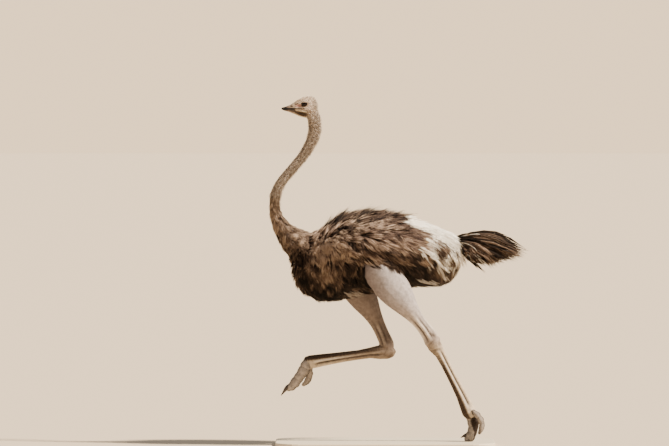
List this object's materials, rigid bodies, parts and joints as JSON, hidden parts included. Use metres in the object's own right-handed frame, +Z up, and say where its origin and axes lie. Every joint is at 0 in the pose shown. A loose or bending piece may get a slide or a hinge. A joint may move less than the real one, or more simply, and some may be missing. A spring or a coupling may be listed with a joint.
{
  "type": "ostrich",
  "caption": "Life-size running hen ostrich with a bare stretched neck, folded wings, a plumed tail and long bare legs, one toe on a flat display base.",
  "frame": {"origin": "middle of the flat underside of the display base", "axes": "-X the way the bird runs and faces, -Y its left side, +Z up"},
  "size_m": [1.3799, 0.64, 1.8545],
  "materials": {
    "plumage": "soft matt feathers, grey-brown with paler fringes",
    "wing_plumage": "soft matt feathers, grey-brown coverts over cream flight feathers",
    "tail_plumage": "loose dark brown plumes",
    "neck_down": "thin hair-like down over pinkish grey skin",
    "bare_skin": "finely pebbled bare skin",
    "scutes": "hard overlapping scutes over pebbled skin",
    "bill_horn": "worn horn, dark at the tip",
    "claw_horn": "rough dark horn",
    "eye": "wet dark brown eye",
    "base_paint": "satin sand-coloured paint on a wooden plate"
  },
  "bodies": {
    "root": {"head": "neck_down", "bill_upper": "bill_horn", "bill_lower": "bill_horn", "eye_left": "eye", "eye_right": "eye", "neck_upper": "neck_down", "neck_middle": "neck_down", "neck_lower": "plumage", "trunk": "plumage", "wing_left": "wing_plumage", "wing_right": "wing_plumage", "tail": "tail_plumage", "thigh_left": "bare_skin", "thigh_right": "bare_skin", "shank_left": "bare_skin", "shank_right": "bare_skin", "tarsus_left": "scutes", "tarsus_right": "scutes", "toe_big_left": "scutes", "toe_big_right": "scutes", "toe_small_left": "scutes", "toe_small_right": "scutes", "claw_left": "claw_horn", "claw_right": "claw_horn", "stand_base": "base_paint"}
  },
  "joints": []
}
